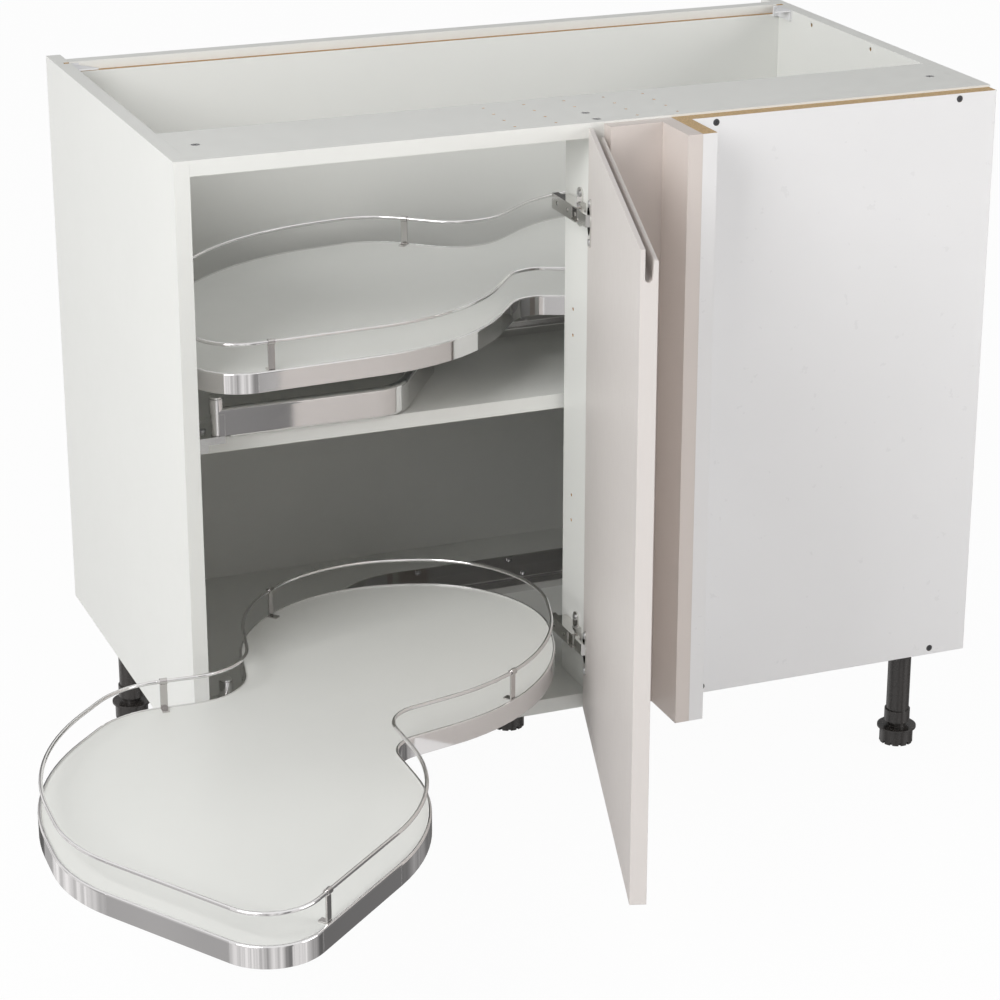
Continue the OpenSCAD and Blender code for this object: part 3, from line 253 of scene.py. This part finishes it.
def moulded(name, colour, roughness, grain_scale, specular=0.5):
    """Moulded plastic: fine spark-eroded grain, paler scuffed edges."""
    finish = Finish(name, colour, roughness, Specular_IOR_Level=specular)
    edge_wear_and_painted_light, rounded = finish.edge(radius=0.0007)
    scratches = finish.noise(scale=300.0)
    patches = finish.spread(scratches, 0.0, 0.8, from_low=0.4, from_high=0.7)
    scuff = finish.math("MULTIPLY", edge_wear_and_painted_light, patches)
    cloud = finish.spread(finish.noise(scale=20.0, detail=2.0), 0.0, 1.0)
    tone = finish.mix(cloud, shade(colour, 0.92), colour)
    finish.set("Base Color", finish.mix(scuff, tone, shade(colour, 1.6)))
    smears = finish.noise(scale=80.0, detail=4.0)
    finish.set("Roughness", finish.spread(smears, roughness - 0.05, roughness + 0.08))
    grain = finish.noise(scale=grain_scale, detail=2.0)
    finish.relief(grain, depth=0.00005, strength=0.3, rounded=rounded)
    return finish.material


def deck_finish(name):
    """The tray decks: smooth grey melamine with a faint drift in the sheen, and edges painted
    lighter as a painted highlight.
    """
    finish = Finish(name, DECK_GREY, 0.36, IOR=MELAMINE_IOR)
    edge_wear_and_painted_light, rounded = finish.edge(radius=0.0006)
    drift = finish.spread(finish.noise(scale=5.0), 0.0, 1.0)
    tone = finish.mix(drift, shade(DECK_GREY, 0.975), DECK_GREY)
    # Painted highlight: faces that turn within the bevel radius are painted lighter.
    painted_edge_light_and_shade = finish.math("MULTIPLY", edge_wear_and_painted_light, 0.2)
    finish.set("Base Color", finish.mix(painted_edge_light_and_shade, tone, shade(DECK_GREY, 1.06)))
    finish.set("Roughness", finish.spread(finish.noise(scale=45.0, detail=4.0), 0.33, 0.42))
    pearl = finish.noise(scale=2300.0, detail=2.0)
    finish.relief(pearl, depth=0.00004, strength=0.25, rounded=rounded)
    return finish.material


def dress(node, material):
    """Gives a CAD node its finish. The mesh stays as it is."""
    mesh = NODES[node]
    mesh.data.materials.clear()
    mesh.data.materials.append(material)


WHITE_BOARDS = {
    CHIPBOARD: ("side_panel_left", "side_panel_right", "bottom_panel", "mid_shelf", "rear_rail"),
    HOLE_CHIPBOARD_PAINTED_LIGHT: ("front_rail", "mid_post"),
}
for core, names in WHITE_BOARDS.items():
    for name in names:
        dress(name, board(name, MELAMINE, core))
dress("back_panel", board("back_panel", MELAMINE, FIBREBOARD, raw_top=True))
for name in ("blank_panel", "return_panel"):
    dress(name, board(name, FRONT_WHITE, CHIPBOARD, raw_top=True, roughness=0.3))
for name, tint in (("corner_post_front", POST_CASHMERE_PAINTED_SHADE), ("corner_post_side", POST_CASHMERE_PAINTED_SHADE),
                   ("door_panel", CASHMERE)):
    dress(name, board(name, tint, roughness=0.42))

chrome = plated("chrome_finish", (0.80, 0.79, 0.79), 0.05)
# The nickel's edges are painted dark, a painted reflection of dark surroundings that outlines the
# parts.
nickel = plated("nickel_finish", (0.74, 0.73, 0.71), 0.06, smudge=0.04, painted_edge_tone=0.25,
                painted_edge_share=0.85)
fitting = plated("fitting_finish", (0.60, 0.60, 0.61), 0.28, brushed=0.25, smudge=0.08)
casting = plated("casting_finish", (0.90, 0.90, 0.89), 0.22, smudge=0.06)
strip = plated("strip_finish", (0.60, 0.58, 0.57), 0.12)
zinc = plated("zinc_finish", (0.58, 0.59, 0.60), 0.36, brushed=0.4, smudge=0.1)
black_zinc = plated("black_screw_finish", (0.10, 0.10, 0.105), 0.3, smudge=0.1)
black = moulded("black_plastic_finish", (0.034, 0.030, 0.028), 0.24, 900.0, specular=0.6)
white = moulded("white_plastic_finish", (0.80, 0.80, 0.81), 0.4, 1200.0)
deck = deck_finish("deck_finish")

GROUPS = {
    chrome: ("upper_band", "lower_band", "upper_wire", "lower_wire", "upper_guide",
             "lower_guide", "upper_arm", "lower_arm"),
    casting: ("upper_bracket", "lower_bracket"),
    strip: ("upper_rail_posts", "lower_rail_posts"),
    nickel: ("hinge_plates", "hinge_arms", "hinge_cups", "hinge_links"),
    fitting: ("rail_cams", "post_screws", "hinge_plate_screws", "hinge_cup_screws",
              "upper_turn_pin", "lower_turn_pin", "swing_base_screws", "upper_deck_screws",
              "lower_deck_screws"),
    zinc: ("upper_turntable", "lower_turntable"),
    black_zinc: ("blank_screws",),
    black: ("leg_sockets", "leg_tubes", "leg_adjusters"),
    white: ("corner_brackets",),
    deck: ("upper_deck", "lower_deck"),
}
for material, names in GROUPS.items():
    for name in names:
        dress(name, material)

WHITE = (1.0, 1.0, 1.0)
FLOOR_HALF_SIZE = 20.0
FLOOR_GREY = (0.8, 0.8, 0.8)
# How much of the floor is white for what sees it straight. The rest keeps the shadow.
FLOOR_GLOW_SHARE = 0.96


def floor_finish():
    """Pale floor: near white for camera, mirrors and glass, lit and shadowed below that."""
    finish = Finish("floor_finish", FLOOR_GREY, 0.9, Specular_IOR_Level=0.0)
    path = finish.add("ShaderNodeLightPath")
    mirrored = finish.math("MAXIMUM", path.outputs["Is Camera Ray"], path.outputs["Is Glossy Ray"])
    seen = finish.math("MAXIMUM", mirrored, path.outputs["Is Transmission Ray"])
    glow = finish.emission("ShaderNodeEmission", WHITE)
    surface = finish.blend(finish.math("MULTIPLY", seen, FLOOR_GLOW_SHARE),
                           finish.shader.outputs["BSDF"], glow)
    finish.link(surface, finish.output.inputs["Surface"])
    drift = finish.spread(finish.noise(scale=1.2, detail=2.0), 0.0, 1.0)
    finish.set("Base Color", finish.mix(drift, (0.79, 0.79, 0.79), (0.81, 0.81, 0.81)))
    return finish.material


def lay_floor():
    mesh = bpy.data.meshes.new("floor")
    half = FLOOR_HALF_SIZE
    mesh.from_pydata([(-half, -half, 0.0), (half, -half, 0.0), (half, half, 0.0),
                      (-half, half, 0.0)], [], [(0, 1, 2, 3)])
    card = bpy.data.objects.new("floor", mesh)
    card.data.materials.append(floor_finish())
    bpy.context.scene.collection.objects.link(card)
    # Mirrors look past the floor at the studio's own white and flags.
    card.visible_glossy = False


lay_floor()


def lamp(name, place, target, size, power, colour=WHITE):
    data = bpy.data.lights.new(name, "AREA")
    data.shape = "RECTANGLE"
    data.size, data.size_y = size
    data.energy = power
    data.color = colour
    light = bpy.data.objects.new(name, data)
    light.location = place
    light.rotation_mode = "QUATERNION"
    light.rotation_quaternion = (Vector(target) - Vector(place)).to_track_quat("-Z", "Y")
    bpy.context.scene.collection.objects.link(light)
    light.visible_camera = False


lamp("key", (-2.95, -2.0, 2.75), target=(0.0, 0.0, 0.5), size=(2.2, 2.2), power=90.0)
lamp("front", (3.04, -3.03, 1.63), target=(0.1, -0.3, 0.45), size=(2.4, 2.0), power=56.0,
     colour=(1.0, 0.985, 0.975))

# The studio round the object, as azimuth in degrees from +X and tone. Mirrors see the white
# background between grey flags. The soft light is dim from the front, bright from both sides.
FLAGS = (
    (-180.0, 0.80), (-172.0, 1.0), (-130.0, 1.0), (-118.0, 0.70), (-112.0, 0.45),
    (-106.0, 0.90), (-84.0, 0.92), (-79.0, 0.32), (-68.0, 0.28), (-66.0, 1.0),
    (-36.0, 1.0), (-30.0, 0.55), (-12.0, 0.45), (-6.0, 0.22), (16.0, 0.20),
    (24.0, 0.45), (40.0, 0.30), (60.0, 0.15), (95.0, 0.15), (103.0, 1.0),
    (150.0, 1.0), (160.0, 0.70), (168.0, 0.50), (176.0, 0.65), (180.0, 0.80),
)
FLAG_TINT = {"Red": 1.0, "Green": 0.985, "Blue": 0.98}
SOFT_TONES = (
    (-180.0, 1.0), (-128.0, 1.0), (-116.0, 0.3), (-70.0, 0.25), (-56.0, 0.95),
    (-25.0, 0.9), (20.0, 0.5), (90.0, 0.5), (120.0, 0.7), (180.0, 1.0),
)
# Brightness of the soft light round the object and overhead
SIDE_LIGHT = 0.95
TOP_LIGHT = 0.42
TOP_COLOUR = (0.99, 0.995, 1.0)
# The rise of a direction at which the top starts to show, and shows alone
TOP_STARTS = 0.3
TOP_FULL = 0.7


class Studio(Nodes):
    """World nodes: tones round the horizon, fine streaks in the flags, and a plain top."""

    def __init__(self):
        world = bpy.data.worlds.new("studio")
        super().__init__(world)
        place = self.add("ShaderNodeTexCoord")
        axes = self.add("ShaderNodeSeparateXYZ")
        self.link(place.outputs["Generated"], axes.inputs["Vector"])
        x, y, z = axes.outputs
        azimuth = self.math("ARCTAN2", y, x)
        turn = self.math("MULTIPLY_ADD", azimuth, 0.5 / math.pi, 0.5)
        top = self.spread(z, 0.0, 1.0, from_low=TOP_STARTS, from_high=TOP_FULL)

        # The background is white for camera, mirrors and glass. Mirrors also see the flags.
        white = self.background(WHITE)
        flags = self.mix(1.0, self.ramp(turn, FLAGS), self.streaks(azimuth), "MULTIPLY")
        flagged = self.blend(top, self.background(flags), white)
        soft = self.blend(top, self.background(self.ramp(turn, SOFT_TONES), SIDE_LIGHT),
                          self.background(TOP_COLOUR, TOP_LIGHT))
        path = self.add("ShaderNodeLightPath")
        glossy = path.outputs["Is Glossy Ray"]
        straight = self.math("MAXIMUM", path.outputs["Is Camera Ray"],
                             path.outputs["Is Transmission Ray"])
        seen = self.blend(self.math("MAXIMUM", straight, glossy), soft,
                          self.blend(glossy, white, flagged))
        output = self.add("ShaderNodeOutputWorld")
        self.link(seen, output.inputs["Surface"])
        bpy.context.scene.world = world

    def background(self, colour, strength=1.0):
        return self.emission("ShaderNodeBackground", colour, strength)

    def ramp(self, turn, tones):
        """The tones, from the azimuth as a turn between 0 and 1."""
        node = self.add("ShaderNodeValToRGB")
        stops = node.color_ramp.elements
        while len(stops) > 1:
            stops.remove(stops[-1])
        for index, (azimuth, tone) in enumerate(tones):
            at = (azimuth + 180.0) / 360.0
            stop = stops[0] if index == 0 else stops.new(at)
            stop.position = at
            stop.color = (tone, tone, tone, 1.0)
        self.link(turn, node.inputs["Fac"])
        return node.outputs["Color"]

    def streaks(self, azimuth):
        """Fine upright streaks, slightly warm."""
        noise = self.add("ShaderNodeTexNoise", noise_dimensions="1D")
        noise.inputs["Scale"].default_value = 7.0
        noise.inputs["Detail"].default_value = 4.0
        noise.inputs["Roughness"].default_value = 0.62
        self.link(azimuth, noise.inputs["W"])
        depth = self.spread(noise.outputs["Fac"], 0.62, 1.0, from_low=0.36, from_high=0.60)
        colour = self.add("ShaderNodeCombineColor")
        for channel, tint in FLAG_TINT.items():
            self.link(self.math("MULTIPLY", depth, tint), colour.inputs[channel])
        return colour.outputs["Color"]


Studio()

# The photograph's place of view, pitched down instead of shifted
CAMERA_PLACE = (-1.31924, -3.27733, 1.65349)
CAMERA_TURN = 0.37985
CAMERA_PITCH = 0.36233
FOCAL_PIXELS = 2964.3
PICTURE_PIXELS = 1000.0
SENSOR = 36.0
camera_data = bpy.data.cameras.new("camera")
camera_data.sensor_width = SENSOR
camera_data.lens = FOCAL_PIXELS / PICTURE_PIXELS * SENSOR
camera_data.clip_start = 0.05
camera_data.clip_end = 100.0
camera = bpy.data.objects.new("camera", camera_data)
camera.location = CAMERA_PLACE
forward = Vector((
    math.sin(CAMERA_TURN) * math.cos(CAMERA_PITCH),
    math.cos(CAMERA_TURN) * math.cos(CAMERA_PITCH),
    -math.sin(CAMERA_PITCH),
))
camera.rotation_mode = "QUATERNION"
camera.rotation_quaternion = forward.to_track_quat("-Z", "Y")
bpy.context.scene.collection.objects.link(camera)
bpy.context.scene.camera = camera
bpy.context.scene.view_settings.view_transform = "Standard"
